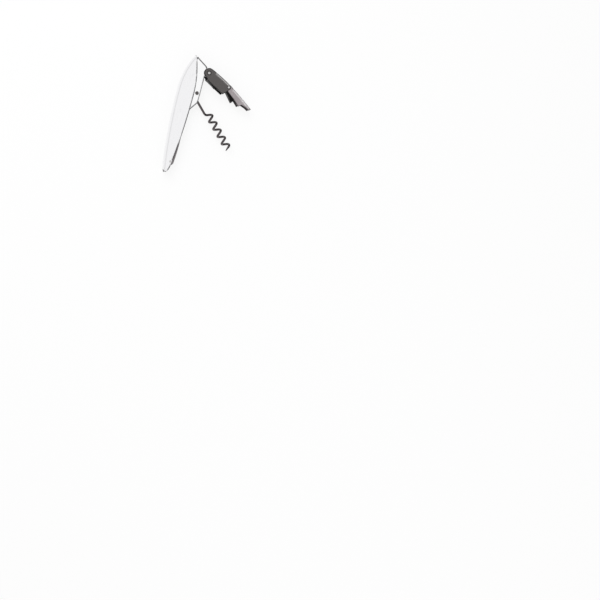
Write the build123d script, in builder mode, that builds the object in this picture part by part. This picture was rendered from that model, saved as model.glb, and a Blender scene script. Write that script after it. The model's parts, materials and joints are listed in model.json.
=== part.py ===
"""Two-step waiter's corkscrew, lying on its side, half open.

X runs along the handle from the lever end to the tail, Y points out of the open
side of the handle, and Z is the direction of every hinge pin. The origin is on the
flat side that it rests on, under the widest part of the handle. Places along the
handle are counted from its pointed lever end. Millimetres.
"""
import math
import os

from build123d import *

# Handle: a folded leaf-shaped shell
handle_length = 134.7
origin_x = 45.0
handle_half_width = 7.95
shell_sheet = 0.9
back_depth = 10.0
back_low_x = 40.0
back_corner_radius = 5.0
lip_height = 8.6
lip_high_x = 45.0
flat_top = 3.0
tail_taper_length = 6.7
tail_shoulder_half = 3.6

# Frame: a channel in the shell, whose ears carry the pins
frame_sheet = 0.9
frame_seat_gap = 0.1
ear_side_gap = 0.2
frame_end_x = 72.0
frame_floor_y = -6.4
frame_floor_x = 26.0
frame_heel_x = 8.0
ear_nose_x = 1.6
ear_nose_y = 2.0
ear_top_x = 9.7
ear_height = 15.2
ear_back_x = 51.0
ear_foot_x = 61.0
ear_foot_y = 8.3
ear_tail_y = 4.0
ear_lobe_radius = 4.2

# Rivets that hold the frame in the shell
frame_rivet_radius = 1.3
front_rivet_x = 24.0
front_rivet_y = 0.5
rear_rivet_x = 64.0
rear_rivet_y = -1.0

# Worm: one wire with an eye, a straight shank and a right-handed coil
worm_pivot_x = 40.7
worm_pivot_y = 11.6
worm_angle = 45.7
wire_diameter = 2.6
coil_radius = 3.4
coil_pitch = 9.4
shank_length = 20.9
coil_first_crest = 29.9
coil_start_turn_share = 0.68
coil_end_turn_share = 5.32
point_length = 4.4
point_radius = 0.25
eye_start_angle = 15.0
eye_end_angle = 270.0
gap_sample_count = 600
worm_pin_proud = 0.25
worm_spacer_wall = 1.1

# First lever: a channel that straddles the ears
lever_pivot_x = 15.6
lever_pivot_y = 18.8
lever_angle = 70.1
link_span = 27.0
lever_sheet = 0.9
lever_end_radius = 5.5
lever_nose_rise = 2.6
lever_nose_reach = 2.0
lever_spine_start = 6.0
lever_bend_radius = 1.5
lever_pin_radius = 2.0
lever_pin_bore_radius = 1.35
lever_washer_radius = 3.5

# Step hook: the formed foot between the first lever's walls
hook_side_gap = 0.4
hook_sheet = 1.2
hook_root_start = 13.5
hook_root_length = 6.0
hook_root_top = 2.7
hook_root_depth = 1.9

# Second lever: a channel between the ends of the first
second_length = 35.0
second_sheet = 0.8
second_side_gap = 0.15
second_end_radius = 3.0
second_tip_rise = 1.2
second_spine_start = 3.8
second_bend_radius = 1.2
second_angle = 59.5
link_pin_radius = 1.2
link_spacer_radius = 2.0
link_slot_gap = 0.5

# Foil cutter and its rivet in the tail
cutter_setback = 12.7
cutter_pivot_y = 2.4
cutter_tip_gap = 6.0
cutter_depth = 5.6
cutter_thickness = 0.9
cutter_side_gap = 0.15
cutter_pin_radius = 1.2
cutter_washer_radius = 1.9
cutter_tang_radius = 4.1

# Fits
running_clearance = 0.05
side_clearance = 0.05
rivet_clearance = 0.02
overrun = 5.0

# Outlines as shares of the length that each piece follows
first_wall_shares = ((1.1, -0.03), (0.952, -0.385), (0.09, -0.274), (0.06, -0.225))
first_heel_share = (-0.133, -0.154)
hook_shares = (
    (0.13, -0.16),
    (0.1, -0.265),
    (0.59, -0.375),
    (0.65, -0.185),
    (1.0, -0.2),
    (1.459, -0.448),
    (1.489, -0.26),
    (1.35, -0.2),
    (1.12, -0.1),
    (0.5, -0.1),
)
second_wall_shares = (
    (0.975, -0.045),
    (0.855, -0.048),
    (0.69, -0.085),
    (0.646, -0.205),
    (0.6, -0.19),
    (0.4, -0.15),
    (0.09, -0.115),
)
cutter_back_shares = ((-1.0, 0.6), (-0.5, 0.88))
cutter_edge_shares = ((-0.16, -0.34), (-0.5, -0.42), (-0.8, -0.3))

os.makedirs("parts", exist_ok=True)
middle_z = handle_half_width
wire_radius = wire_diameter / 2
lever_inner_half = handle_half_width - lever_sheet
second_half_width = lever_inner_half - second_side_gap
second_inner_half = second_half_width - second_sheet
frame_half_width = second_inner_half - ear_side_gap
frame_inner_half = frame_half_width - frame_sheet
lip_half_width = frame_half_width + frame_seat_gap + shell_sheet
hook_half_width = frame_inner_half - hook_side_gap
cutter_face_offset = frame_half_width + frame_seat_gap - cutter_side_gap - cutter_thickness
tail_shoulder_x = handle_length - tail_taper_length
cutter_pivot_x = handle_length - cutter_setback
cutter_length = cutter_pivot_x - frame_end_x - cutter_tip_gap


def hinge_plane(x, y, angle):
    """Plane square to the hinge pins, with its X axis along a swung piece."""
    along = (math.cos(math.radians(angle)), math.sin(math.radians(angle)), 0)
    return Plane(origin=(x - origin_x, y, middle_z), x_dir=along, z_dir=(0, 0, 1))


def crest_radius(run, drop):
    """Radius of an arc that leaves its crest level and falls by drop over run."""
    return (run**2 + drop**2) / (2 * drop)


def scaled(shares, length, depth=None):
    """Outline points from shares of a length, and of a depth if one is given."""
    return [(x * length, y * (depth or length)) for x, y in shares]


def export(piece, label):
    """Label a finished piece and write it to its own file."""
    piece.part.label = label
    export_step(piece.part, f"parts/{label}.step")


handle_plane = hinge_plane(0, 0, 0)
worm_plane = hinge_plane(worm_pivot_x, worm_pivot_y, worm_angle)
lever_plane = hinge_plane(lever_pivot_x, lever_pivot_y, lever_angle)
link_point = lever_plane.from_local_coords((link_span, 0, 0))
second_plane = hinge_plane(link_point.X + origin_x, link_point.Y, second_angle)
cutter_plane = hinge_plane(cutter_pivot_x, cutter_pivot_y, 0)
frame_rivet_places = ((front_rivet_x, front_rivet_y), (rear_rivet_x, rear_rivet_y))

# Handle shell: a rounded channel bent along the leaf's back, cut to the leaf's lips
front_back_radius = crest_radius(back_low_x, back_depth)
rear_back_radius = crest_radius(tail_shoulder_x - back_low_x, back_depth - tail_shoulder_half)
front_sweep = math.degrees(math.asin((back_low_x + overrun) / front_back_radius))
rear_sweep = math.degrees(math.asin((handle_length - back_low_x + overrun) / rear_back_radius))
channel_top = lip_height + shell_sheet + overrun
deepest = handle_plane.from_local_coords((back_low_x, 0, 0))
channel_plane = Plane(origin=deepest, x_dir=(0, 1, 0), z_dir=(1, 0, 0))

with BuildPart() as handle_shell:
    with BuildSketch(channel_plane) as channel_section:
        with BuildLine():
            Polyline(
                (channel_top, lip_half_width),
                (lip_height, lip_half_width),
                (flat_top, handle_half_width),
                (-back_depth, handle_half_width),
                (-back_depth, -handle_half_width),
                (flat_top, -handle_half_width),
                (lip_height, -lip_half_width),
                (channel_top, -lip_half_width),
                close=True,
            )
        make_face()
        back_corners = channel_section.vertices().group_by(Axis.X)[0]
        fillet(back_corners, radius=back_corner_radius)
        offset(amount=-shell_sheet, mode=Mode.SUBTRACT)
    front_axis = Axis((deepest.X, front_back_radius - back_depth, 0), (0, 0, -1))
    rear_axis = Axis((deepest.X, rear_back_radius - back_depth, 0), (0, 0, 1))
    revolve(axis=front_axis, revolution_arc=front_sweep)
    revolve(channel_section.sketch, axis=rear_axis, revolution_arc=rear_sweep)
    with BuildSketch(handle_plane.offset(-handle_half_width - overrun)):
        with BuildLine():
            crest = (lip_high_x, lip_height)
            shoulder = (tail_shoulder_x, tail_shoulder_half)
            TangentArc(crest, (0, 0), tangent=(-1, 0))
            rear_lip = TangentArc(crest, shoulder, tangent=(1, 0))
            tail_lip = TangentArc(shoulder, (handle_length, 0), tangent=rear_lip % 1)
            mirror(tail_lip, about=Plane.XZ)
            Polyline(
                (tail_shoulder_x, -tail_shoulder_half),
                (tail_shoulder_x, -back_depth - overrun),
                (-overrun, -back_depth - overrun),
                (-overrun, 0),
                (0, 0),
            )
        make_face()
    extrude(amount=2 * (handle_half_width + overrun), mode=Mode.INTERSECT)
    with BuildSketch(handle_plane):
        with Locations(*frame_rivet_places):
            Circle(frame_rivet_radius + rivet_clearance)
        with Locations((cutter_pivot_x, cutter_pivot_y)):
            Circle(cutter_pin_radius + rivet_clearance)
    extrude(amount=handle_half_width + overrun, both=True, mode=Mode.SUBTRACT)
export(handle_shell, "handle_shell")

# Inner frame: a channel with ears for the worm and the lever
with BuildPart() as inner_frame:
    with BuildSketch(handle_plane):
        with BuildLine():
            Polyline(
                (ear_nose_x, ear_nose_y),
                (ear_top_x, ear_height),
                (ear_back_x, ear_height),
                (ear_foot_x, ear_foot_y),
                (frame_end_x, ear_tail_y),
                (frame_end_x, frame_floor_y),
                (frame_floor_x, frame_floor_y),
                (frame_heel_x, 0),
                close=True,
            )
        make_face()
        with Locations((lever_pivot_x, lever_pivot_y)):
            Circle(ear_lobe_radius)
        with Locations((lever_pivot_x, ear_height)):
            Rectangle(2 * ear_lobe_radius, 2 * (lever_pivot_y - ear_height))
    extrude(amount=frame_half_width, both=True)
    with BuildSketch(handle_plane):
        with BuildLine():
            Polyline(
                (-overrun, frame_floor_y + frame_sheet),
                (frame_end_x + overrun, frame_floor_y + frame_sheet),
                (frame_end_x + overrun, lever_pivot_y + lever_end_radius + overrun),
                (-overrun, lever_pivot_y + lever_end_radius + overrun),
                close=True,
            )
        make_face()
    extrude(amount=frame_inner_half, both=True, mode=Mode.SUBTRACT)
    with BuildSketch(handle_plane):
        with Locations(*frame_rivet_places):
            Circle(frame_rivet_radius + rivet_clearance)
        with Locations((worm_pivot_x, worm_pivot_y)):
            Circle(coil_radius - wire_radius - running_clearance + rivet_clearance)
        with Locations((lever_pivot_x, lever_pivot_y)):
            Circle(lever_pin_radius + running_clearance)
    extrude(amount=frame_half_width + overrun, both=True, mode=Mode.SUBTRACT)
export(inner_frame, "inner_frame")

# Frame rivets: flush on both sides of the shell
with BuildPart() as frame_rivets:
    with BuildSketch(handle_plane):
        with Locations(*frame_rivet_places):
            Circle(frame_rivet_radius)
    extrude(amount=handle_half_width, both=True)
export(frame_rivets, "frame_rivets")


# Worm: its centre line is arcs and one straight run, in the frame of its own axis
def worm_point(along, across, up):
    """A point given along the worm's axis, across it and up from the middle."""
    return worm_plane.from_local_coords(Vector(along, across, up))


def coil_point(turn):
    """The coil's centre line after a number of turns; whole turns face the lever."""
    angle = 2 * math.pi * turn
    along = coil_first_crest + coil_pitch * (turn - 1)
    return worm_point(along, coil_radius * math.cos(angle), coil_radius * math.sin(angle))


def coil_tangent(turn):
    """Direction of the coil's centre line after a number of turns."""
    angle = 2 * math.pi * turn
    round_speed = 2 * math.pi * coil_radius
    ahead = worm_point(
        coil_pitch, -round_speed * math.sin(angle), round_speed * math.cos(angle)
    )
    return (ahead - worm_plane.origin).normalized()


def biarc(start, start_tangent, end, end_tangent):
    """Two arcs that join two points, smooth at both ends and where they meet."""
    chord = end - start
    both = start_tangent + end_tangent
    spread = 2 * (1 - start_tangent.dot(end_tangent))
    toward = chord.dot(both)
    reach = (math.sqrt(toward**2 + spread * chord.dot(chord)) - toward) / spread
    first_corner = start + start_tangent * reach
    last_corner = end - end_tangent * reach
    meeting = (first_corner + last_corner) * 0.5
    first = TangentArc(start, meeting, tangent=start_tangent)
    last = TangentArc(meeting, end, tangent=last_corner - first_corner)
    return first, last


quarter_turns = round(4 * (coil_end_turn_share - coil_start_turn_share))
turn_step = (coil_end_turn_share - coil_start_turn_share) / quarter_turns
coil_turns = [coil_start_turn_share + turn_step * step for step in range(quarter_turns + 1)]
axis_direction = worm_plane.x_dir
eye_middle_angle = (eye_start_angle + eye_end_angle) / 2
worm_pin_radius = coil_radius - wire_radius - running_clearance

with BuildPart() as worm:
    with BuildLine() as worm_wire:
        for first_angle, last_angle in (
            (eye_start_angle, eye_middle_angle),
            (eye_middle_angle, eye_end_angle),
        ):
            places = []
            for angle in (first_angle, (first_angle + last_angle) / 2, last_angle):
                turn = math.radians(angle)
                eye_x = coil_radius * math.cos(turn)
                eye_y = coil_radius * math.sin(turn)
                places.append(worm_point(eye_x, eye_y, 0))
            ThreePointArc(*places)
        shank_end = worm_point(shank_length, -coil_radius, 0)
        Line(worm_point(0, -coil_radius, 0), shank_end)
        arcs = [
            biarc(shank_end, axis_direction, coil_point(coil_turns[0]), coil_tangent(coil_turns[0]))
        ]
        for turn, next_turn in zip(coil_turns, coil_turns[1:]):
            arcs.append(
                biarc(
                    coil_point(turn),
                    coil_tangent(turn),
                    coil_point(next_turn),
                    coil_tangent(next_turn),
                )
            )
    wire_line = worm_wire.wires()[0]
    with BuildSketch(Plane(origin=wire_line @ 0, z_dir=wire_line % 0)):
        Circle(wire_radius)
    sweep(path=wire_line)
    tip_plane = Plane(origin=coil_point(coil_turns[-1]), z_dir=coil_tangent(coil_turns[-1]))
    with BuildSketch(tip_plane):
        Circle(wire_radius)
    with BuildSketch(tip_plane.offset(point_length)):
        Circle(point_radius)
    loft()
export(worm, "worm")

wire_points = wire_line.positions([step / gap_sample_count for step in range(gap_sample_count + 1)])
point_spacing = wire_line.length / gap_sample_count
skip = math.ceil(3 * wire_diameter / point_spacing)
least_gap = min(
    (later - earlier).length
    for index, earlier in enumerate(wire_points)
    for later in wire_points[index + skip :]
)
print(f"worm: least gap to itself {least_gap - wire_diameter:.2f} mm")
tightest = min(arc.radius for pair in arcs for arc in pair)
print(f"worm: tightest bend {tightest:.2f} mm, wire {wire_diameter:.2f} mm")
tube_volume = math.pi * wire_radius**2 * wire_line.length
print(f"worm: volume {worm.part.volume:.1f}, section times length {tube_volume:.1f} mm3")

# Worm rivet and the bushes that centre the eye
worm_pin_plane = hinge_plane(worm_pivot_x, worm_pivot_y, 0)
with BuildPart() as worm_pin:
    with BuildSketch(worm_pin_plane):
        Circle(worm_pin_radius)
    extrude(amount=frame_half_width + worm_pin_proud, both=True)
    chamfer(worm_pin.edges(), length=worm_pin_proud)
export(worm_pin, "worm_pin")

spacer_length = frame_inner_half - wire_radius - 2 * side_clearance
for side, label in ((1, "worm_spacer_near"), (-1, "worm_spacer_far")):
    with BuildPart() as worm_spacer:
        with BuildSketch(worm_pin_plane.offset(side * (wire_radius + side_clearance))):
            Circle(worm_pin_radius + worm_spacer_wall)
            Circle(worm_pin_radius + rivet_clearance, mode=Mode.SUBTRACT)
        extrude(amount=side * spacer_length)
    export(worm_spacer, label)

# First lever: sheet channel with a bent back, open towards the handle
spine_end = (link_span + lever_nose_reach, lever_nose_rise)
spine_drop = lever_end_radius - lever_nose_rise
spine_radius = crest_radius(spine_end[0], spine_drop)


def arc_rise(radius, crest_height, along):
    """Height of an arc with its crest over the pivot, at a distance from the pivot."""
    return crest_height - radius + math.sqrt(radius**2 - along**2)


def spine_rise(along):
    """Height of the back's outer face over the pivot line of the first lever."""
    return arc_rise(spine_radius, lever_end_radius, along)


def spine_inner_rise(along):
    """Height of the back's inner face over the pivot line of the first lever."""
    return arc_rise(spine_radius - lever_sheet, lever_end_radius - lever_sheet, along)


def point_between(start, end, along):
    """Point of the line from start to end at a distance along the lever."""
    share = (along - start[0]) / (end[0] - start[0])
    return (along, start[1] + share * (end[1] - start[1]))


wall_points = scaled(first_wall_shares, link_span)
heel = (first_heel_share[0] * link_span, first_heel_share[1] * link_span)
spine_start = (lever_spine_start, spine_rise(lever_spine_start))
wall_break = point_between(wall_points[1], wall_points[2], lever_spine_start)
link_slot_start = link_span - second_end_radius - link_slot_gap

with BuildPart() as first_lever:
    with BuildSketch(lever_plane):
        with BuildLine():
            spine_middle = (link_span / 2, spine_rise(link_span / 2))
            ThreePointArc(spine_start, spine_middle, spine_end)
            Polyline(spine_end, wall_points[0], wall_points[1], wall_break, spine_start)
        make_face()
    extrude(amount=handle_half_width, both=True)
    back_edges = first_lever.edges().filter_by(
        lambda edge: edge.geom_type == GeomType.CIRCLE and edge.radius > link_span
    )
    fillet(back_edges, radius=lever_bend_radius)
    with BuildSketch(lever_plane):
        with BuildLine():
            cheek_middle = (lever_spine_start / 2, spine_rise(lever_spine_start / 2))
            ThreePointArc((0, lever_end_radius), cheek_middle, spine_start)
            Polyline(spine_start, wall_break, wall_points[2], wall_points[3], heel)
            ThreePointArc(heel, (-lever_end_radius, 0), (0, lever_end_radius))
        make_face()
    extrude(amount=handle_half_width, both=True)
    with BuildSketch(lever_plane):
        with BuildLine():
            inner_start = (lever_spine_start, spine_inner_rise(lever_spine_start))
            inner_end = (link_slot_start, spine_inner_rise(link_slot_start))
            inner_middle = (link_span / 2, spine_inner_rise(link_span / 2))
            ThreePointArc(inner_start, inner_middle, inner_end)
            Polyline(
                inner_end,
                (link_slot_start, link_span),
                (2 * link_span, link_span),
                (2 * link_span, -link_span),
                (-link_span, -link_span),
                (-link_span, link_span),
                (lever_spine_start, link_span),
                inner_start,
            )
        make_face()
    extrude(amount=lever_inner_half, both=True, mode=Mode.SUBTRACT)
    with BuildSketch(lever_plane):
        Circle(lever_pin_radius + running_clearance)
        with Locations((link_span, 0)):
            Circle(link_pin_radius + rivet_clearance)
    extrude(amount=handle_half_width + overrun, both=True, mode=Mode.SUBTRACT)
export(first_lever, "first_lever")

# Step hook: a formed channel between the walls that ends in the first step
hook_points = scaled(hook_shares, link_span)
with BuildPart() as step_hook:
    with BuildSketch(lever_plane):
        with BuildLine():
            Polyline(*hook_points, close=True)
        make_face()
    extrude(amount=hook_half_width, both=True)
    with BuildSketch(lever_plane):
        with BuildLine():
            Polyline(*[(x - hook_sheet, y + hook_sheet) for x, y in hook_points], close=True)
        make_face()
    extrude(amount=hook_half_width - hook_sheet, both=True, mode=Mode.SUBTRACT)
    with BuildSketch(lever_plane):
        with Locations((hook_root_start, -hook_root_top)):
            Rectangle(hook_root_length, hook_root_depth, align=(Align.MIN, Align.MAX))
    extrude(amount=lever_inner_half, both=True)
export(step_hook, "step_hook")

# Lever rivet, a tube flush with the lever's walls, and its washers
lever_pin_plane = hinge_plane(lever_pivot_x, lever_pivot_y, 0)
with BuildPart() as lever_pin:
    with BuildSketch(lever_pin_plane):
        Circle(lever_pin_radius)
        Circle(lever_pin_bore_radius, mode=Mode.SUBTRACT)
    extrude(amount=handle_half_width, both=True)
export(lever_pin, "lever_pin")

lever_washer_length = lever_inner_half - frame_half_width - 2 * side_clearance
for side, label in ((1, "lever_washer_near"), (-1, "lever_washer_far")):
    with BuildPart() as lever_washer:
        with BuildSketch(lever_pin_plane.offset(side * (frame_half_width + side_clearance))):
            Circle(lever_washer_radius)
            Circle(lever_pin_radius + running_clearance, mode=Mode.SUBTRACT)
        extrude(amount=side * lever_washer_length)
    export(lever_washer, label)

# Second lever: narrower channel with the second step and a slim tip
second_tip = (second_length, second_tip_rise)
second_drop = second_end_radius - second_tip_rise
second_spine_radius = crest_radius(second_length, second_drop)


def second_rise(along):
    """Height of the back's outer face over the pivot line of the second lever."""
    return arc_rise(second_spine_radius, second_end_radius, along)


def second_inner_rise(along):
    """Height of the back's inner face over the pivot line of the second lever."""
    inner_crest = second_end_radius - second_sheet
    return arc_rise(second_spine_radius - second_sheet, inner_crest, along)


second_points = scaled(second_wall_shares, second_length)
second_heel = (0, -second_end_radius)
second_start = (second_spine_start, second_rise(second_spine_start))
second_break = point_between(second_points[-2], second_points[-1], second_spine_start)

with BuildPart() as second_lever:
    with BuildSketch(second_plane):
        with BuildLine():
            second_middle = (second_length / 2, second_rise(second_length / 2))
            ThreePointArc(second_start, second_middle, second_tip)
            Polyline(second_tip, *second_points[:-1], second_break, second_start)
        make_face()
    extrude(amount=second_half_width, both=True)
    second_back_edges = second_lever.edges().filter_by(
        lambda edge: edge.geom_type == GeomType.CIRCLE and edge.radius > second_length
    )
    fillet(second_back_edges, radius=second_bend_radius)
    with BuildSketch(second_plane):
        with BuildLine():
            cheek_middle = (second_spine_start / 2, second_rise(second_spine_start / 2))
            ThreePointArc((0, second_end_radius), cheek_middle, second_start)
            Polyline(second_start, second_break, second_points[-1], second_heel)
            ThreePointArc(second_heel, (-second_end_radius, 0), (0, second_end_radius))
        make_face()
    extrude(amount=second_half_width, both=True)
    with BuildSketch(second_plane):
        with BuildLine():
            inner_start = (second_spine_start, second_inner_rise(second_spine_start))
            inner_end = (second_length, second_inner_rise(second_length))
            inner_middle = (second_length / 2, second_inner_rise(second_length / 2))
            ThreePointArc(inner_start, inner_middle, inner_end)
            Polyline(
                inner_end,
                (2 * second_length, inner_end[1]),
                (2 * second_length, -second_length),
                (-second_length, -second_length),
                (-second_length, second_length),
                (second_spine_start, second_length),
                inner_start,
            )
        make_face()
    extrude(amount=second_inner_half, both=True, mode=Mode.SUBTRACT)
    with BuildSketch(second_plane):
        Circle(link_pin_radius + running_clearance)
    extrude(amount=second_half_width + overrun, both=True, mode=Mode.SUBTRACT)
export(second_lever, "second_lever")

# Link rivet and the bush between the second lever's walls
with BuildPart() as link_pin:
    with BuildSketch(second_plane):
        Circle(link_pin_radius)
    extrude(amount=handle_half_width, both=True)
export(link_pin, "link_pin")

with BuildPart() as link_spacer:
    with BuildSketch(second_plane):
        Circle(link_spacer_radius)
        Circle(link_pin_radius + running_clearance, mode=Mode.SUBTRACT)
    extrude(amount=second_inner_half - side_clearance, both=True)
export(link_spacer, "link_spacer")

# Foil cutter: a slim blade with a round heel, folded into the tail beside the folded worm
with BuildPart() as foil_cutter:
    with BuildSketch(cutter_plane.offset(cutter_face_offset)):
        with BuildLine():
            back_points = scaled(cutter_back_shares, cutter_length, cutter_depth)
            edge_points = scaled(cutter_edge_shares, cutter_length, cutter_depth)
            tang_top = (0, cutter_tang_radius)
            tang_foot = (0, -cutter_tang_radius)
            ThreePointArc(*back_points, tang_top)
            ThreePointArc(tang_top, (cutter_tang_radius, 0), tang_foot)
            Line(tang_foot, edge_points[0])
            ThreePointArc(*edge_points)
            Line(edge_points[-1], back_points[0])
        make_face()
        Circle(cutter_pin_radius + running_clearance, mode=Mode.SUBTRACT)
    extrude(amount=cutter_thickness)
export(foil_cutter, "foil_cutter")

# Cutter rivet, friction washer and bush
with BuildPart() as cutter_pin:
    with BuildSketch(cutter_plane):
        Circle(cutter_pin_radius)
    extrude(amount=handle_half_width, both=True)
export(cutter_pin, "cutter_pin")

shell_inner_half = handle_half_width - shell_sheet
washer_base = cutter_face_offset + cutter_thickness + side_clearance
with BuildPart() as cutter_washer:
    with BuildSketch(cutter_plane.offset(washer_base)):
        Circle(cutter_washer_radius)
        Circle(cutter_pin_radius + rivet_clearance, mode=Mode.SUBTRACT)
    extrude(amount=shell_inner_half - washer_base - side_clearance)
export(cutter_washer, "cutter_washer")

bush_top = cutter_face_offset - side_clearance
with BuildPart() as cutter_spacer:
    with BuildSketch(cutter_plane.offset(bush_top)):
        Circle(cutter_washer_radius)
        Circle(cutter_pin_radius + rivet_clearance, mode=Mode.SUBTRACT)
    extrude(amount=side_clearance - bush_top - shell_inner_half)
export(cutter_spacer, "cutter_spacer")
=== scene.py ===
"""Dressing of a folding two-step corkscrew: finishes, worm, studio and camera.

Everything is in metres, in the frame of the loaded model: X along the handle, Y out of
its open side, Z along the hinge pins and up from the side that it rests on.
"""
import json
import math

import bmesh
import bpy
from mathutils import Matrix, Vector


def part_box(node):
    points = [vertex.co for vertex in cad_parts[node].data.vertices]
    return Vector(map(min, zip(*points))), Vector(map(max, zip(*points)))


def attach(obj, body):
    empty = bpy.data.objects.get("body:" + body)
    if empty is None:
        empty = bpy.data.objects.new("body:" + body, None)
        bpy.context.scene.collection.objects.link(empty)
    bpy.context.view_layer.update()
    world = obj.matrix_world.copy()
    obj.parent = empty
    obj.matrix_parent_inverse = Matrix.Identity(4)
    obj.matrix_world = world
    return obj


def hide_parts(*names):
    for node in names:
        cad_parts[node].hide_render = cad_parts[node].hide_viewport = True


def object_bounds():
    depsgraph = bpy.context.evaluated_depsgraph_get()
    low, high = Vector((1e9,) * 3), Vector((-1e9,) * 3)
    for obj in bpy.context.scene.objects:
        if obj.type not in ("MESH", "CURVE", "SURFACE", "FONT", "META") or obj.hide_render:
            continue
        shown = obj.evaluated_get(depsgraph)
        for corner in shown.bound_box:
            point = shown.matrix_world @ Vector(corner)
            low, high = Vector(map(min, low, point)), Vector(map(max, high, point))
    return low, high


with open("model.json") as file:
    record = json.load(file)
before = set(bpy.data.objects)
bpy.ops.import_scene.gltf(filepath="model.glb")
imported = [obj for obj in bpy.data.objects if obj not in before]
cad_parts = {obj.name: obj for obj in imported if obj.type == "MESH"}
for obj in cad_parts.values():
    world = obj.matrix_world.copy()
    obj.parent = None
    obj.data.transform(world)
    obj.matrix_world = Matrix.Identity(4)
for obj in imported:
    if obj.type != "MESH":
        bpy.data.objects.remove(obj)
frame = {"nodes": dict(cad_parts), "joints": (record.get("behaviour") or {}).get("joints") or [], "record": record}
CAD_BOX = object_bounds()

bl_info = {
    "name": "Corkscrew dressing",
    "version": (1, 0, 0),
    "blender": (4, 5, 0),
    "location": "View3D > Sidebar > Corkscrew",
    "description": "Finishes, wire worm, studio and camera of a folding corkscrew",
    "category": "Object",
}

MM = 0.001
MIDDLE_Z = sum(corner[2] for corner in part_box("handle_shell")) / 2
JOINTS = {joint["name"]: joint for joint in frame["joints"]}
BODY_OF = {
    node: body
    for body, nodes in frame["record"]["behaviour"]["bodies"].items()
    for node in nodes
}

# Direction out of the levers' back at rest
LEVER_TURN = math.radians(65)
LEVER_BACK = Vector((-math.sin(LEVER_TURN), math.cos(LEVER_TURN), 0))

# Marks on the sheets: on their cut edges, where the painted dark edge line goes, and all over but for those, where
# the painted bend highlight may go
RIM = "rim"
CLEAR = "clear"

# Least angle of a cut edge, and samples of each rounded normal
CUT_ANGLE = math.radians(60)
BEVEL_SAMPLES = 8


# Values that a user would change

def colour(name, description, default):
    """A colour setting."""
    return bpy.props.FloatVectorProperty(
        name=name, description=description, default=default, subtype="COLOR", min=0, max=1
    )


def length(name, description, default):
    """A length setting, in metres."""
    return bpy.props.FloatProperty(
        name=name, description=description, default=default, unit="LENGTH", precision=5
    )


def factor(name, description, default):
    """A plain share between nothing and all."""
    return bpy.props.FloatProperty(
        name=name, description=description, default=default, min=0, max=1, subtype="FACTOR"
    )


class CorkscrewFinish(bpy.types.PropertyGroup):
    """Colours and edges of the metal."""

    leaf: colour("Polished leaf", "Handle shell", (0.885, 0.883, 0.895))
    ear: colour("Polished ear", "Frame and ears", (0.95, 0.95, 0.955))
    # Painted reflection: a dark line laid along the rims of the polished sheet and the edges of the bright pins,
    # for dark surroundings seen in them.
    painted_edge_reflection: colour("Painted edge reflection", "Edges of the polished sheet", (0.025, 0.023, 0.024))
    dark: colour("Dark coat", "First lever", (0.09, 0.083, 0.081))
    # Painted shade: a near-black outline along the cut edges of the first lever, the step hook and the dark
    # rivets.
    painted_dark_outline: colour("Painted dark outline", "Edges of the first lever", (0.014, 0.013, 0.013))
    grey: colour("Grey steel", "Second lever", (0.37, 0.335, 0.345))
    grey_edge: colour("Shaded grey edge", "Edges of the second lever", (0.1, 0.09, 0.092))
    # Painted highlights: light strips laid along the back bends of the two levers.
    highlight_on_dark: colour("Painted highlight on coat", "Bend of the first lever", (0.5, 0.49, 0.485))
    highlight_on_grey: colour("Painted highlight on steel", "Bend of the second lever", (0.8, 0.78, 0.785))
    shaded: colour("Shaded steel", "Inside of the second lever", (0.07, 0.063, 0.065))
    blade_edge: colour("Ground edge", "Edges of the foil cutter", (0.62, 0.6, 0.6))
    # Near black of the step hook, also laid on the first lever's inward faces as painted shade.
    black: colour("Black hook and inner shade", "Step hook", (0.006, 0.0055, 0.0055))
    blade: colour("Blade steel", "Foil cutter", (0.2, 0.185, 0.19))
    wire: colour("Wire steel", "Worm", (0.1, 0.088, 0.09))
    rivet: colour("Rivet steel", "Pins, washers and bushes", (0.6, 0.59, 0.585))
    # The edge widths also set how far the painted dark edge lines reach in from the edges.
    sheet_edge_width: length("Sheet edge width", "Rolled edges of the polished sheet", 2.4 * MM)
    coat_edge_width: length("Coat edge width", "Dark edges of the levers", 1.6 * MM)
    edge_width: length("Edge width", "Width of the broken edges", 0.16 * MM)
    fine_edge_width: length("Fine edge width", "Broken edges of small pieces", 0.08 * MM)


class CorkscrewWorm(bpy.types.PropertyGroup):
    """Sizes of the worm, as in the solid that it stands for."""

    wire_diameter: length("Wire", "Diameter of the wire", 2.6 * MM)
    coil_radius: length("Coil radius", "Axis to the middle of the wire", 3.4 * MM)
    pitch: length("Pitch", "Advance of one turn", 9.4 * MM)
    shank: length("Shank", "Pivot to the end of the straight wire", 20.9 * MM)
    first_crest: length("First crest", "Pivot to the first crest of the coil", 29.9 * MM)
    point: length("Point", "Length of the tapered point", 7.5 * MM)
    rest_angle: bpy.props.FloatProperty(
        name="Rest angle",
        description="Angle of the worm from the handle",
        default=math.radians(45.7),
        subtype="ANGLE",
    )


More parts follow.
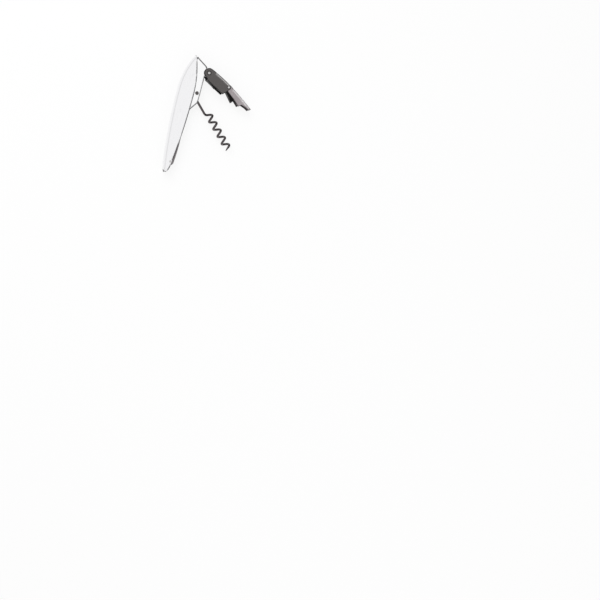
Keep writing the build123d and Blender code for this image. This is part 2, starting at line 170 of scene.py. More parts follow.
class CorkscrewStage(bpy.types.PropertyGroup):
    """Studio and camera."""

    floor_colour: colour("Floor", "Pale floor", (0.9, 0.9, 0.9))
    floor_radius: length("Floor radius", "Size of the floor", 3.0)
    shadow_share: factor("Shadow", "How much of the floor's shading the camera sees", 0.16)
    aim: bpy.props.FloatVectorProperty(
        name="Aim",
        description="Floor point in the middle of the picture",
        default=(0.188235, 0.189607, 0.0),
        subtype="TRANSLATION",
    )
    lean: bpy.props.FloatVectorProperty(
        name="Lean",
        description="Sideways part of the direction from the object to the camera",
        default=(0.089, -0.143),
        size=2,
    )
    subject: bpy.props.FloatVectorProperty(
        name="Subject",
        description="Point of the object that the camera's distance is counted from",
        default=(0.0, 0.02, 0.008),
        subtype="TRANSLATION",
    )
    distance: length("Camera distance", "From the object to the camera", 2.0)
    roll: bpy.props.FloatProperty(
        name="Roll",
        description="Turn of the camera about its line of sight",
        default=math.radians(105.0198),
        subtype="ANGLE",
    )
    lens: bpy.props.FloatProperty(
        name="Lens", description="Focal length in millimetres", default=106.7107
    )


# Shader building blocks

def put(nodes, kind, values=None, **settings):
    """A new shader node with its settings and the values of its inputs."""
    node = nodes.new("ShaderNode" + kind)
    for setting, value in settings.items():
        setattr(node, setting, value)
    for socket, value in (values or {}).items():
        node.inputs[socket].default_value = value
    return node


def new_group(name):
    """An empty shader group with its input and output nodes."""
    group = bpy.data.node_groups.new(name, "ShaderNodeTree")
    start = group.nodes.new("NodeGroupInput")
    end = group.nodes.new("NodeGroupOutput")
    return group, start, end


def add_input(group, name, default):
    """A named number or vector that a group takes in."""
    kind = "NodeSocketVector" if isinstance(default, tuple) else "NodeSocketFloat"
    socket = group.interface.new_socket(name=name, in_out="INPUT", socket_type=kind)
    socket.default_value = default


def add_output(group, name, kind="NodeSocketFloat"):
    """A named mask or normal that a group puts out."""
    group.interface.new_socket(name=name, in_out="OUTPUT", socket_type=kind)


def metal_grain_group():
    """Fine drawn lines: noise in object space, stretched along one direction."""
    group, start, end = new_group("metal grain")
    add_input(group, "Stretch", (1000.0, 1000.0, 1000.0))
    add_input(group, "Turn", (0.0, 0.0, 0.0))
    add_output(group, "Lines")
    add_output(group, "Height")
    nodes, links = group.nodes, group.links
    place = put(nodes, "TexCoord")
    mapping = put(nodes, "Mapping")
    lines = put(nodes, "TexNoise", {"Scale": 1.0, "Detail": 3.0, "Roughness": 0.6})
    spread = put(nodes, "MapRange", {"From Min": 0.3, "From Max": 0.7})
    links.new(place.outputs["Object"], mapping.inputs["Vector"])
    links.new(start.outputs["Stretch"], mapping.inputs["Scale"])
    links.new(start.outputs["Turn"], mapping.inputs["Rotation"])
    links.new(mapping.outputs["Vector"], lines.inputs["Vector"])
    links.new(lines.outputs["Fac"], spread.inputs["Value"])
    links.new(spread.outputs["Result"], end.inputs["Lines"])
    links.new(lines.outputs["Fac"], end.inputs["Height"])
    return group


def handling_group():
    """Soft smudges and sparse hairline scratches left by handling."""
    group, start, end = new_group("handling marks")
    add_input(group, "Smudge scale", 90.0)
    add_input(group, "Scratch scale", 260.0)
    add_output(group, "Smudge")
    add_output(group, "Scratch")
    nodes, links = group.nodes, group.links
    place = put(nodes, "TexCoord")
    smudge = put(nodes, "TexNoise", {"Detail": 4.0})
    smudge_range = put(nodes, "MapRange", {"From Min": 0.38, "From Max": 0.68})
    warp = put(nodes, "TexNoise", {"Scale": 60.0})
    bend = put(nodes, "VectorMath", {1: (0.012, 0.012, 0.012)}, operation="MULTIPLY_ADD")
    cells = put(nodes, "TexVoronoi", feature="DISTANCE_TO_EDGE")
    scratch_range = put(nodes, "MapRange", {"From Max": 0.018, "To Min": 1.0, "To Max": 0.0})
    patchy = put(nodes, "Math", operation="MULTIPLY")
    links.new(place.outputs["Object"], smudge.inputs["Vector"])
    links.new(start.outputs["Smudge scale"], smudge.inputs["Scale"])
    links.new(smudge.outputs["Fac"], smudge_range.inputs["Value"])
    links.new(smudge_range.outputs["Result"], end.inputs["Smudge"])
    links.new(place.outputs["Object"], warp.inputs["Vector"])
    links.new(warp.outputs["Color"], bend.inputs[0])
    links.new(place.outputs["Object"], bend.inputs[2])
    links.new(bend.outputs["Vector"], cells.inputs["Vector"])
    links.new(start.outputs["Scratch scale"], cells.inputs["Scale"])
    links.new(cells.outputs["Distance"], scratch_range.inputs["Value"])
    links.new(scratch_range.outputs["Result"], patchy.inputs[0])
    links.new(smudge_range.outputs["Result"], patchy.inputs[1])
    links.new(patchy.outputs["Value"], end.inputs["Scratch"])
    return group


def rounded_edge_group():
    """Normals that round a sharp edge off, and a mask of where they do."""
    group, start, end = new_group("rounded edges")
    add_input(group, "Radius", 0.2 * MM)
    add_input(group, "Start", 0.995)
    add_input(group, "Full", 0.93)
    add_output(group, "Normal", "NodeSocketVector")
    add_output(group, "Edge")
    nodes, links = group.nodes, group.links
    rounding = put(nodes, "Bevel", samples=BEVEL_SAMPLES)
    surface = put(nodes, "NewGeometry")
    agreement = put(nodes, "VectorMath", operation="DOT_PRODUCT")
    mask = put(nodes, "MapRange")
    links.new(start.outputs["Radius"], rounding.inputs["Radius"])
    links.new(start.outputs["Start"], mask.inputs["From Min"])
    links.new(start.outputs["Full"], mask.inputs["From Max"])
    links.new(rounding.outputs["Normal"], agreement.inputs[0])
    links.new(surface.outputs["Normal"], agreement.inputs[1])
    links.new(agreement.outputs["Value"], mask.inputs["Value"])
    links.new(rounding.outputs["Normal"], end.inputs["Normal"])
    links.new(mask.outputs["Result"], end.inputs["Edge"])
    return group


def bend_highlight_group():
    """A mask of the strip along a sheet's bend, up to its back, where a painted highlight goes."""
    group, start, end = new_group("rubbed bend")
    add_input(group, "Reach", 3.0 * MM)
    add_input(group, "Back", tuple(LEVER_BACK))
    add_output(group, "Bend")
    nodes, links = group.nodes, group.links
    around = put(nodes, "Bevel", samples=BEVEL_SAMPLES)
    turned = put(nodes, "VectorTransform", vector_type="NORMAL",
                 convert_from="WORLD", convert_to="OBJECT")
    leaning = put(nodes, "VectorMath", operation="DOT_PRODUCT")
    near_bend = put(nodes, "MapRange", {"From Min": 0.07, "From Max": 0.14})
    surface = put(nodes, "NewGeometry")
    parts = put(nodes, "SeparateXYZ")
    rise = put(nodes, "Math", operation="ABSOLUTE")
    off_back = put(nodes, "MapRange", {"From Min": 0.86, "From Max": 0.97})
    clear = put(nodes, "Attribute", attribute_name=CLEAR)
    off_cuts = put(nodes, "MapRange", {"From Min": 0.35, "From Max": 0.6})
    on_sheet = put(nodes, "Math", operation="MULTIPLY")
    on_strip = put(nodes, "Math", operation="MULTIPLY")
    links.new(start.outputs["Reach"], around.inputs["Radius"])
    links.new(around.outputs["Normal"], turned.inputs["Vector"])
    links.new(turned.outputs["Vector"], leaning.inputs[0])
    links.new(start.outputs["Back"], leaning.inputs[1])
    links.new(leaning.outputs["Value"], near_bend.inputs["Value"])
    links.new(surface.outputs["Normal"], parts.inputs["Vector"])
    links.new(parts.outputs["Z"], rise.inputs[0])
    links.new(rise.outputs["Value"], off_back.inputs["Value"])
    links.new(clear.outputs["Fac"], off_cuts.inputs["Value"])
    links.new(near_bend.outputs["Result"], on_sheet.inputs[0])
    links.new(off_cuts.outputs["Result"], on_sheet.inputs[1])
    links.new(on_sheet.outputs["Value"], on_strip.inputs[0])
    links.new(off_back.outputs["Result"], on_strip.inputs[1])
    links.new(on_strip.outputs["Value"], end.inputs["Bend"])
    return group


GROUPS = {}


def put_group(nodes, name, values=None):
    """A node that uses one of the shared groups, which is built when first asked for."""
    makers = {
        "grain": metal_grain_group,
        "handling": handling_group,
        "edge": rounded_edge_group,
        "bend": bend_highlight_group,
    }
    if name not in GROUPS:
        GROUPS[name] = makers[name]()
    return put(nodes, "Group", values, node_tree=GROUPS[name])


def keep_at_rims(nodes, links, edge, normal):
    """Keep a rounded edge's mask and normal only where the mesh is marked as a rim."""
    marked = put(nodes, "Attribute", attribute_name=RIM)
    kept = put(nodes, "Math", operation="MULTIPLY")
    surface = put(nodes, "NewGeometry")
    turned = put(nodes, "Mix", data_type="VECTOR")
    links.new(edge, kept.inputs[0])
    links.new(marked.outputs["Fac"], kept.inputs[1])
    links.new(marked.outputs["Fac"], turned.inputs["Factor"])
    links.new(surface.outputs["Normal"], turned.inputs["A"])
    links.new(normal, turned.inputs["B"])
    return kept.outputs["Value"], turned.outputs["Result"]


def paint_bend_highlight(nodes, links, tint, painted_highlight):
    """Mix a painted highlight in along the bend of a sheet."""
    bend = put_group(nodes, "bend")
    bright = put(nodes, "Mix", {"B": (*painted_highlight, 1)}, data_type="RGBA")
    links.new(bend.outputs["Bend"], bright.inputs["Factor"])
    links.new(tint, bright.inputs["A"])
    return bright.outputs["Result"]


def shift_tint(tint, gain, lift=0.0):
    """A tint made stronger or weaker, as a colour with alpha."""
    return (*[min(1, gain * channel + lift) for channel in tint], 1)


def metal(name, tint, edge_tint, edge_width, metallic, roughness, grain, marks, stretch, bump,
          turn=0.0, specular=0.5, at_rims=False, painted_highlight=None):
    """A metal or coated finish with drawn grain, smudges and hairline scratches, its edge tint laid along rounded
    edges, and a painted highlight along a bend when one is given.
    """
    scratch_gain, scratch_lift = 1.25, 0.02
    least_roughness = 0.02
    relief_depth = 0.02 * MM
    rim_start, rim_full = 0.999, 0.985
    material = bpy.data.materials.new(name)
    material.use_nodes = True
    material.diffuse_color = (*tint, 1)
    nodes, links = material.node_tree.nodes, material.node_tree.links
    shader = nodes["Principled BSDF"]
    shader.inputs["Metallic"].default_value = metallic
    shader.inputs["Specular IOR Level"].default_value = specular
    lines = put_group(nodes, "grain", {"Stretch": stretch, "Turn": (0, 0, turn)})
    wear = put_group(nodes, "handling")
    rounding = put_group(nodes, "edge", {"Radius": edge_width})
    tints = {"A": shift_tint(tint, 1 - grain), "B": shift_tint(tint, 1 + grain)}
    shade = put(nodes, "Mix", tints, data_type="RGBA")
    scratched = {"B": shift_tint(tint, scratch_gain, scratch_lift)}
    worn = put(nodes, "Mix", scratched, data_type="RGBA")
    # The edge tint along the edge mask: a painted dark line where the edge colour is dark.
    rim = put(nodes, "Mix", {"B": (*edge_tint, 1)}, data_type="RGBA")
    amount = put(nodes, "Math", {1: marks}, operation="MULTIPLY")
    gloss = put(nodes, "MapRange", {
        "To Min": max(least_roughness, roughness * (1 - marks)),
        "To Max": min(1, roughness * (1 + 2 * marks)),
    })
    relief = put(nodes, "Bump", {"Strength": bump, "Distance": relief_depth})
    edge = rounding.outputs["Edge"]
    normal = rounding.outputs["Normal"]
    surface_tint = rim.outputs["Result"]
    if at_rims:
        rounding.inputs["Start"].default_value = rim_start
        rounding.inputs["Full"].default_value = rim_full
        edge, normal = keep_at_rims(nodes, links, edge, normal)
    # Painted highlight laid along the bend.
    if painted_highlight:
        surface_tint = paint_bend_highlight(nodes, links, surface_tint, painted_highlight)
    links.new(lines.outputs["Lines"], shade.inputs["Factor"])
    links.new(shade.outputs["Result"], worn.inputs["A"])
    links.new(wear.outputs["Scratch"], amount.inputs[0])
    links.new(amount.outputs["Value"], worn.inputs["Factor"])
    links.new(worn.outputs["Result"], rim.inputs["A"])
    links.new(edge, rim.inputs["Factor"])
    links.new(surface_tint, shader.inputs["Base Color"])
    links.new(wear.outputs["Smudge"], gloss.inputs["Value"])
    links.new(gloss.outputs["Result"], shader.inputs["Roughness"])
    links.new(normal, relief.inputs["Normal"])
    links.new(lines.outputs["Height"], relief.inputs["Height"])
    links.new(relief.outputs["Normal"], shader.inputs["Normal"])
    return material


# Meshes

def link_object(name, mesh):
    """A new object in the scene that holds a mesh."""
    piece = bpy.data.objects.new(name, mesh)
    bpy.context.scene.collection.objects.link(piece)
    return piece


def settle(piece, *nodes):
    """Let a piece ride with its node's body and stand for its nodes, which are hidden."""
    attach(piece, BODY_OF[nodes[0]])
    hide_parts(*nodes)


def sharpen(mesh):
    """Crisp edges where two real faces meet, and none along the slivers of a bend."""
    sliver, crisp = 0.06 * MM, math.radians(22)
    shape = bmesh.new()
    shape.from_mesh(mesh)
    for edge in shape.edges:
        angle = edge.calc_face_angle(0)
        least = min(
            2 * face.calc_area() / max(side.calc_length() for side in face.edges)
            for face in edge.link_faces
        )
        edge.smooth = angle < (crisp if least > sliver else CUT_ANGLE)
    shape.to_mesh(mesh)
    shape.free()


def dressed_copy(node, name, finish):
    """The node's form as one clean mesh with crisp flat faces, in a finish."""
    weld, shortest = 0.001 * MM, 0.002 * MM
    mesh = frame["nodes"][node].data.copy()
    mesh.name = name
    cleaner = bmesh.new()
    cleaner.from_mesh(mesh)
    bmesh.ops.remove_doubles(cleaner, verts=cleaner.verts, dist=weld)
    bmesh.ops.dissolve_degenerate(cleaner, edges=cleaner.edges, dist=shortest)
    cleaner.to_mesh(mesh)
    cleaner.free()
    if mesh.has_custom_normals:
        mesh.attributes.remove(mesh.attributes["custom_normal"])
    mesh.materials.clear()
    mesh.materials.append(finish)
    for polygon in mesh.polygons:
        polygon.material_index = 0
    mesh.shade_smooth()
    sharpen(mesh)
    piece = link_object(name, mesh)
    weighting = piece.modifiers.new("flat faces", "WEIGHTED_NORMAL")
    weighting.keep_sharp = True
    depsgraph = bpy.context.evaluated_depsgraph_get()
    finished = bpy.data.meshes.new_from_object(piece.evaluated_get(depsgraph))
    piece.modifiers.clear()
    piece.data = finished
    finished.name = name
    settle(piece, node)
    return piece


def pin_places(*nodes):
    """Middle and radius in plan of each loose piece of some pins."""
    places = []
    for node in nodes:
        islands = bmesh.new()
        islands.from_mesh(frame["nodes"][node].data)
        left = set(islands.verts)
        while left:
            front = [left.pop()]
            reached = list(front)
            while front:
                for edge in front.pop().link_edges:
                    for vertex in left.intersection(edge.verts):
                        left.remove(vertex)
                        front.append(vertex)
                        reached.append(vertex)
            spots = [vertex.co.xy for vertex in reached]
            middle = sum(spots, Vector((0, 0))) / len(spots)
            places.append((middle, max((spot - middle).length for spot in spots)))
        islands.free()
    return places


def mark_sheet(piece, name, at_cut_edges, pins):
    """Mark a sheet's cut edges, or all of it but those, and leave out its pins' holes."""
    margin = 0.35 * MM
    mesh = piece.data
    shape = bmesh.new()
    shape.from_mesh(mesh)
    marks = []
    for vertex in shape.verts:
        sharp = [edge for edge in vertex.link_edges if not edge.smooth]
        at_cut = any(edge.calc_face_angle(0) > CUT_ANGLE for edge in sharp)
        at_pin = any((vertex.co.xy - middle).length < radius + margin for middle, radius in pins)
        marks.append(at_cut == at_cut_edges and not at_pin)
    shape.free()
    mesh.attributes.new(name, "FLOAT", "POINT").data.foreach_set("value", marks)


def shade_inside(piece, finish):
    """Paint shade on the inward faces of a lever's channel with a darker finish of their own."""
    wall = 1.2 * MM
    least_across, least_forward = 0.5, 0.3
    mesh = piece.data
    mesh.materials.append(finish)
    top = max(vertex.co.z for vertex in mesh.vertices)
    for polygon in mesh.polygons:
        height = polygon.center.z - MIDDLE_Z
        within = abs(height) < top - MIDDLE_Z - wall / 2
        outward = math.copysign(polygon.normal.z, polygon.normal.z * height)
        forward = -polygon.normal.dot(LEVER_BACK)
        if within and (outward < -least_across or forward > least_forward):
            polygon.material_index = 1


def tube(name, points, radii, sides, finish):
    """A closed round tube through points, with a radius at each of them."""
    crisp = math.radians(40)
    tangents = []
    for index in range(len(points)):
        before = points[max(0, index - 1)]
        after = points[min(len(points) - 1, index + 1)]
        tangents.append((after - before).normalized())
    builder = bmesh.new()
    rings = []
    across = tangents[0].orthogonal().normalized()
    for point, tangent, radius in zip(points, tangents, radii):
        across = (across - tangent * across.dot(tangent)).normalized()
        over = tangent.cross(across)
        ring = []
        for side in range(sides):
            turn = 2 * math.pi * side / sides
            spoke = across * math.cos(turn) + over * math.sin(turn)
            ring.append(builder.verts.new(point + spoke * radius))
        rings.append(ring)
    for ring, next_ring in zip(rings, rings[1:]):
        for side in range(sides):
            other = (side + 1) % sides
            builder.faces.new((ring[side], ring[other], next_ring[other], next_ring[side]))
    builder.faces.new(list(reversed(rings[0])))
    builder.faces.new(rings[-1])
    bmesh.ops.recalc_face_normals(builder, faces=builder.faces)
    mesh = bpy.data.meshes.new(name)
    builder.to_mesh(mesh)
    builder.free()
    mesh.materials.append(finish)
    mesh.shade_smooth()
    mesh.set_sharp_from_angle(angle=crisp)
    return link_object(name, mesh)


# Pieces

class CORKSCREW_OT_handle(bpy.types.Operator):
    """Dress the polished shell, the frame with its ears, and their rivets"""

    bl_idname = "corkscrew.handle"
    bl_label = "Handle"

    def execute(self, context):
        look = context.scene.corkscrew_finish
        drawn = (80, 5000, 5000)
        leaf = metal("polished_leaf", look.leaf, look.painted_edge_reflection, look.sheet_edge_width,
                     metallic=1.0, roughness=0.11, grain=0.02, marks=0.25, stretch=drawn,
                     bump=0.03, at_rims=True)
        ear = metal("polished_ear", look.ear, look.painted_edge_reflection, look.sheet_edge_width,
                    metallic=1.0, roughness=0.07, grain=0.015, marks=0.2, stretch=drawn,
                    bump=0.02, at_rims=True)
        rivet = metal("flush_rivet", look.leaf, look.leaf, look.fine_edge_width,
                      metallic=1.0, roughness=0.12, grain=0.02, marks=0.25,
                      stretch=(900, 900, 9000), bump=0.03)
        pins = pin_places("frame_rivets", "cutter_pin", "worm_pin", "lever_pin")
        for node, name, finish in (
            ("handle_shell", "leaf_shell", leaf),
            ("inner_frame", "eared_frame", ear),
        ):
            mark_sheet(dressed_copy(node, name, finish), RIM, True, pins)
        dressed_copy("frame_rivets", "flush_rivets", rivet)
        return {"FINISHED"}


class CORKSCREW_OT_levers(bpy.types.Operator):
    """Dress the two lever links and the hooked foot"""

    bl_idname = "corkscrew.levers"
    bl_label = "Levers"

    def execute(self, context):
        look = context.scene.corkscrew_finish
        even = (2600, 2600, 2600)
        dark = metal("dark_satin_coat", look.dark, look.painted_dark_outline, look.coat_edge_width,
                     metallic=0.55, roughness=0.38, grain=0.12, marks=0.3, stretch=even,
                     bump=0.25, painted_highlight=look.highlight_on_dark)
        grey = metal("grey_satin_steel", look.grey, look.grey_edge, look.coat_edge_width,
                     metallic=0.9, roughness=0.34, grain=0.1, marks=0.25,
                     stretch=(120, 3800, 3800), bump=0.1, turn=math.radians(-59.5),
                     painted_highlight=look.highlight_on_grey)
        # The near black also paints shade on the first lever's inward faces.
        black = metal("black_hook_and_inner_shade", look.black, look.painted_dark_outline, look.edge_width,
                      metallic=0.0, roughness=0.5, grain=0.15, marks=0.3, stretch=even,
                      bump=0.2, specular=0.1)
        shaded = metal("shaded_steel", look.shaded, look.grey_edge, look.edge_width,
                       metallic=0.6, roughness=0.5, grain=0.1, marks=0.25, stretch=even,
                       bump=0.2)
        pins = pin_places("lever_pin", "link_pin")
        # Each link's inward faces take a darker finish as painted shade.
        for node, name, finish, inner_shade in (
            ("first_lever", "first_link", dark, black),
            ("second_lever", "second_link", grey, shaded),
        ):
            piece = dressed_copy(node, name, finish)
            mark_sheet(piece, CLEAR, False, pins)
            shade_inside(piece, inner_shade)
        dressed_copy("step_hook", "first_step", black)
        return {"FINISHED"}


class CORKSCREW_OT_worm(bpy.types.Operator):
    """Wind the wire worm: eye, straight shank, coil and ground point"""

    bl_idname = "corkscrew.worm"
    bl_label = "Worm"

    def execute(self, context):
        look = context.scene.corkscrew_finish
        size = context.scene.corkscrew_worm
        sides = 24
        pivot = Vector(JOINTS["worm_swing"]["pos_m"])
        placing = Matrix.Translation(pivot) @ Matrix.Rotation(size.rest_angle, 4, "Z")
        finish = metal("dark_wire", look.wire, look.wire, look.fine_edge_width,
                       metallic=1.0, roughness=0.24, grain=0.2, marks=0.3,
                       stretch=(3000, 3000, 3000), bump=0.12)
        points = [placing @ point for point in worm_centre_line(size)]
        piece = tube("wire_worm", points, worm_radii(points, size), sides, finish)
        settle(piece, "worm")
        return {"FINISHED"}


def coil_point(size, turn):
    """Point of the coil after a number of turns, in the worm's own frame."""
    angle = 2 * math.pi * turn
    along = size.first_crest + size.pitch * (turn - 1)
    across = size.coil_radius * math.cos(angle)
    return Vector((along, across, size.coil_radius * math.sin(angle)))


def worm_centre_line(size):
    """Eye, shank, bend and coil as points along the middle of the wire."""
    eye_start, eye_end, eye_steps = math.radians(15), math.radians(270), 36
    shank_steps, bend_steps, turn_steps = 8, 14, 40
    coil_start, coil_end, nudge = 0.68, 5.5, 0.001
    radius = size.coil_radius
    points = []
    for step in range(eye_steps):
        angle = eye_start + (eye_end - eye_start) * step / eye_steps
        points.append(Vector((radius * math.cos(angle), radius * math.sin(angle), 0)))
    for step in range(shank_steps):
        points.append(Vector((size.shank * step / shank_steps, -radius, 0)))
    first = Vector((size.shank, -radius, 0))
    last = coil_point(size, coil_start)
    pull = (last - first).length
    leave = Vector((pull, 0, 0))
    arrive = (coil_point(size, coil_start + nudge) - last).normalized() * pull
    for step in range(bend_steps):
        points.append(smooth_point(first, leave, last, arrive, step / bend_steps))
    steps = round((coil_end - coil_start) * turn_steps)
    for step in range(steps + 1):
        points.append(coil_point(size, coil_start + (coil_end - coil_start) * step / steps))
    return points


def smooth_point(first, leave, last, arrive, t):
    """Point at a share of the smooth curve that leaves one point and arrives at another."""
    from_first = first * (2 * t**3 - 3 * t**2 + 1) + leave * (t**3 - 2 * t**2 + t)
    from_last = last * (3 * t**2 - 2 * t**3) + arrive * (t**3 - t**2)
    return from_first + from_last


def worm_radii(points, size):
    """Wire radius at each point: full up to the point, where it is ground away."""
    tip_share, taper, eye_end_share = 0.06, 0.75, 0.9
    distances = [0.0]
    for before, after in zip(points, points[1:]):
        distances.append(distances[-1] + (after - before).length)
    radii = []
    for distance in distances:
        left = min(1.0, (distances[-1] - distance) / size.point)
        share = tip_share + (1 - tip_share) * left**taper
        radii.append(size.wire_diameter / 2 * share)
    radii[0] *= eye_end_share
    return radii


class CORKSCREW_OT_cutter(bpy.types.Operator):
    """Dress the folded foil cutter"""

    bl_idname = "corkscrew.cutter"
    bl_label = "Foil cutter"

    def execute(self, context):
        look = context.scene.corkscrew_finish
        blade = metal("ground_blade", look.blade, look.blade_edge, look.edge_width,
                      metallic=1.0, roughness=0.25, grain=0.15, marks=0.3,
                      stretch=(5000, 90, 5000), bump=0.12)
        dressed_copy("foil_cutter", "foil_blade", blade)
        return {"FINISHED"}


class CORKSCREW_OT_pins(bpy.types.Operator):
    """Dress the pins, washers and bushes"""

    bl_idname = "corkscrew.pins"
    bl_label = "Pins and washers"

    def execute(self, context):
        look = context.scene.corkscrew_finish
        bright = metal("turned_steel", look.rivet, look.painted_edge_reflection, look.fine_edge_width,
                       metallic=1.0, roughness=0.22, grain=0.08, marks=0.2,
                       stretch=(900, 900, 9000), bump=0.1)
        dark = metal("dark_rivet", look.dark, look.painted_dark_outline, look.fine_edge_width,
                     metallic=0.7, roughness=0.35, grain=0.1, marks=0.25,
                     stretch=(2000, 2000, 2000), bump=0.1)
        names = {
            "worm_pin": ("worm_rivet", dark),
            "worm_spacer_near": ("near_worm_bush", bright),
            "worm_spacer_far": ("far_worm_bush", bright),
            "lever_pin": ("tubular_lever_rivet", dark),
            "lever_washer_near": ("near_lever_washer", bright),
            "lever_washer_far": ("far_lever_washer", bright),
            "link_pin": ("link_rivet", bright),
            "link_spacer": ("link_bush", bright),
            "cutter_pin": ("blade_rivet", bright),
            "cutter_washer": ("blade_washer", bright),
            "cutter_spacer": ("blade_bush", bright),
        }
        for node, (name, finish) in names.items():
            piece = dressed_copy(node, name, finish)
            if node == "lever_pin":
                brighten_bore(piece, bright)
        return {"FINISHED"}


def brighten_bore(piece, finish):
    """Give the inside of the tubular rivet the bright finish of bare steel."""
    least_inward = 0.5
    axis = Vector(JOINTS["lever_swing"]["pos_m"])
    piece.data.materials.append(finish)
    for polygon in piece.data.polygons:
        outward = polygon.center - axis
        outward.z = 0
        if outward.dot(polygon.normal) < -least_inward * outward.length:
            polygon.material_index = 1


# Studio

class CORKSCREW_OT_stage(bpy.types.Operator):
    """Set the pale floor, the soft lights and the camera"""

    bl_idname = "corkscrew.stage"
    bl_label = "Studio"

    def execute(self, context):
        stage = context.scene.corkscrew_stage
        lay_floor(stage)
        light_world(context.scene)
        hang_lights()
        stand_cards()
        set_camera(context.scene, stage)
        context.scene.view_settings.view_transform = "Standard"
        return {"FINISHED"}


def seen_directly(nodes, links):
    """One for rays from the camera, from gloss and through glass, else nothing."""
    path = put(nodes, "LightPath")
    seen_or_glossy = put(nodes, "Math", operation="MAXIMUM")
    any_of_three = put(nodes, "Math", operation="MAXIMUM")
    links.new(path.outputs["Is Camera Ray"], seen_or_glossy.inputs[0])
    links.new(path.outputs["Is Glossy Ray"], seen_or_glossy.inputs[1])
    links.new(seen_or_glossy.outputs["Value"], any_of_three.inputs[0])
    links.new(path.outputs["Is Transmission Ray"], any_of_three.inputs[1])
    return any_of_three.outputs["Value"]


def lay_floor(stage):
    """A round pale floor under the object, white to the camera but for its shadow."""
    segments = 96
    builder = bmesh.new()
    bmesh.ops.create_circle(
        builder, cap_ends=True, segments=segments, radius=stage.floor_radius
    )
    mesh = bpy.data.meshes.new("studio_floor")
    builder.to_mesh(mesh)
    builder.free()
    floor = link_object("studio_floor", mesh)
    floor.location.z = CAD_BOX[0][2]
    material = bpy.data.materials.new("pale_floor")
    material.use_nodes = True
    nodes, links = material.node_tree.nodes, material.node_tree.links
    shader = nodes["Principled BSDF"]
    shader.inputs["Base Color"].default_value = (*stage.floor_colour, 1)
    shader.inputs["Roughness"].default_value = 0.9
    shader.inputs["Specular IOR Level"].default_value = 0.0
    glow = put(nodes, "Emission", {"Strength": 1.0})
    blend = put(nodes, "MixShader")
    share = put(nodes, "Math", {1: 1 - stage.shadow_share}, operation="MULTIPLY")
    links.new(seen_directly(nodes, links), share.inputs[0])
    links.new(share.outputs["Value"], blend.inputs["Fac"])
    links.new(shader.outputs["BSDF"], blend.inputs[1])
    links.new(glow.outputs["Emission"], blend.inputs[2])
    links.new(blend.outputs["Shader"], nodes["Material Output"].inputs["Surface"])
    mesh.materials.append(material)


def light_world(scene):
    """White surroundings, dimmer as a light than as a sight, and a little low down in gloss."""
    light_share, low_gloss, fall_height = 0.55, 0.76, 0.7
    world = bpy.data.worlds.new("white_studio")
    world.use_nodes = True
    nodes, links = world.node_tree.nodes, world.node_tree.links
    background = nodes["Background"]
    background.inputs["Color"].default_value = (1, 1, 1, 1)
    strength = put(nodes, "MapRange", {"To Min": light_share})
    direction = put(nodes, "TexCoord")
    parts = put(nodes, "SeparateXYZ")
    fall = put(nodes, "MapRange", {"From Max": fall_height, "To Min": low_gloss},
               interpolation_type="SMOOTHSTEP")
    path = put(nodes, "LightPath")
    in_gloss = put(nodes, "Mix", {"A": 1.0})
    level = put(nodes, "Math", operation="MULTIPLY")
    links.new(seen_directly(nodes, links), strength.inputs["Value"])
    links.new(direction.outputs["Generated"], parts.inputs["Vector"])
    links.new(parts.outputs["Z"], fall.inputs["Value"])
    links.new(path.outputs["Is Glossy Ray"], in_gloss.inputs["Factor"])
    links.new(fall.outputs["Result"], in_gloss.inputs["B"])
    links.new(strength.outputs["Result"], level.inputs[0])
    links.new(in_gloss.outputs["Result"], level.inputs[1])
    links.new(level.outputs["Value"], background.inputs["Strength"])
    scene.world = world


def hang_lights():
    """A large soft key light over the handle and a weaker fill from the tail."""
    target = Vector((0, 0.02, 0))
    for name, place, size, power in (
        ("key_light", (-0.5, -0.5, 1.1), 0.9, 9.0),
        ("fill_light", (0.7, 0.5, 0.9), 1.2, 4.0),
    ):
        lamp = bpy.data.lights.new(name, "AREA")
        lamp.size = size
        lamp.energy = power
        holder = bpy.data.objects.new(name, lamp)
        holder.location = place
        aim = target - Vector(place)
        holder.rotation_euler = aim.to_track_quat("-Z", "Y").to_euler()
        holder.visible_glossy = False
        bpy.context.scene.collection.objects.link(holder)


def stand_cards():
    """Black cards at the open side and the lever's back, seen only in reflections."""
    distance, middle_height, width, height = 0.6, 0.15, 0.7, 0.32
    upright = math.radians(90)
    black = bpy.data.materials.new("black_card")
    black.use_nodes = True
    shader = black.node_tree.nodes["Principled BSDF"]
    shader.inputs["Base Color"].default_value = (0.005, 0.005, 0.005, 1)
    shader.inputs["Specular IOR Level"].default_value = 0.0
    for name, heading in (("open_side_card", 90), ("lever_back_card", 150)):
        builder = bmesh.new()
        bmesh.ops.create_grid(builder, size=0.5)
        mesh = bpy.data.meshes.new(name)
        builder.to_mesh(mesh)
        builder.free()
        mesh.materials.append(black)
        card = link_object(name, mesh)
        turn = math.radians(heading)
        card.location = (distance * math.cos(turn), distance * math.sin(turn), middle_height)
        card.rotation_euler = (upright, 0, turn - upright)
        card.scale = (width, height, 1)
        card.visible_camera = False
        card.visible_diffuse = False
        card.visible_shadow = False
        card.visible_transmission = False


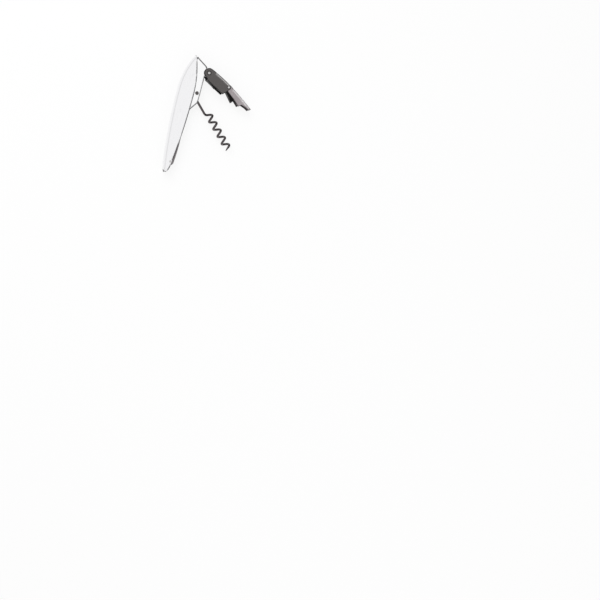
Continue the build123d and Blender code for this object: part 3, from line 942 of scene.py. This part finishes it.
def set_camera(scene, stage):
    """The photograph's view: nearly square to the pins, with the object off the middle."""
    lean = Vector((stage.lean[0], stage.lean[1], 1)).normalized()
    place = Vector(stage.subject) + lean * stage.distance
    forward = (Vector(stage.aim) - place).normalized()
    right = forward.cross(Vector((0, 1, 0))).normalized()
    up = right.cross(forward)
    rolled_right = right * math.cos(stage.roll) + up * math.sin(stage.roll)
    rolled_up = up * math.cos(stage.roll) - right * math.sin(stage.roll)
    lens = bpy.data.cameras.new("photo_camera")
    lens.lens = stage.lens
    lens.sensor_width = 36
    lens.clip_start = 0.01
    camera = bpy.data.objects.new("photo_camera", lens)
    turn = Matrix((rolled_right, rolled_up, -forward)).transposed().to_4x4()
    camera.matrix_world = Matrix.Translation(place) @ turn
    scene.collection.objects.link(camera)
    scene.camera = camera


# Panel and registration

OPERATORS = (
    CORKSCREW_OT_handle,
    CORKSCREW_OT_levers,
    CORKSCREW_OT_worm,
    CORKSCREW_OT_cutter,
    CORKSCREW_OT_pins,
    CORKSCREW_OT_stage,
)


class CORKSCREW_PT_sidebar(bpy.types.Panel):
    """Lists the settings and the steps"""

    bl_label = "Corkscrew"
    bl_space_type = "VIEW_3D"
    bl_region_type = "UI"
    bl_category = "Corkscrew"

    def draw(self, context):
        scene = context.scene
        for settings in (scene.corkscrew_finish, scene.corkscrew_worm, scene.corkscrew_stage):
            box = self.layout.box()
            for name in settings.__annotations__:
                box.prop(settings, name)
        for operator in OPERATORS:
            self.layout.operator(operator.bl_idname)


CLASSES = (CorkscrewFinish, CorkscrewWorm, CorkscrewStage, *OPERATORS, CORKSCREW_PT_sidebar)


def register():
    for cls in CLASSES:
        bpy.utils.register_class(cls)
    scene = bpy.types.Scene
    scene.corkscrew_finish = bpy.props.PointerProperty(type=CorkscrewFinish)
    scene.corkscrew_worm = bpy.props.PointerProperty(type=CorkscrewWorm)
    scene.corkscrew_stage = bpy.props.PointerProperty(type=CorkscrewStage)


def unregister():
    scene = bpy.types.Scene
    del scene.corkscrew_stage, scene.corkscrew_worm, scene.corkscrew_finish
    for cls in reversed(CLASSES):
        bpy.utils.unregister_class(cls)


def main():
    register()
    bpy.ops.corkscrew.handle()
    bpy.ops.corkscrew.levers()
    bpy.ops.corkscrew.worm()
    bpy.ops.corkscrew.cutter()
    bpy.ops.corkscrew.pins()
    bpy.ops.corkscrew.stage()


if __name__ == "__main__":
    main()
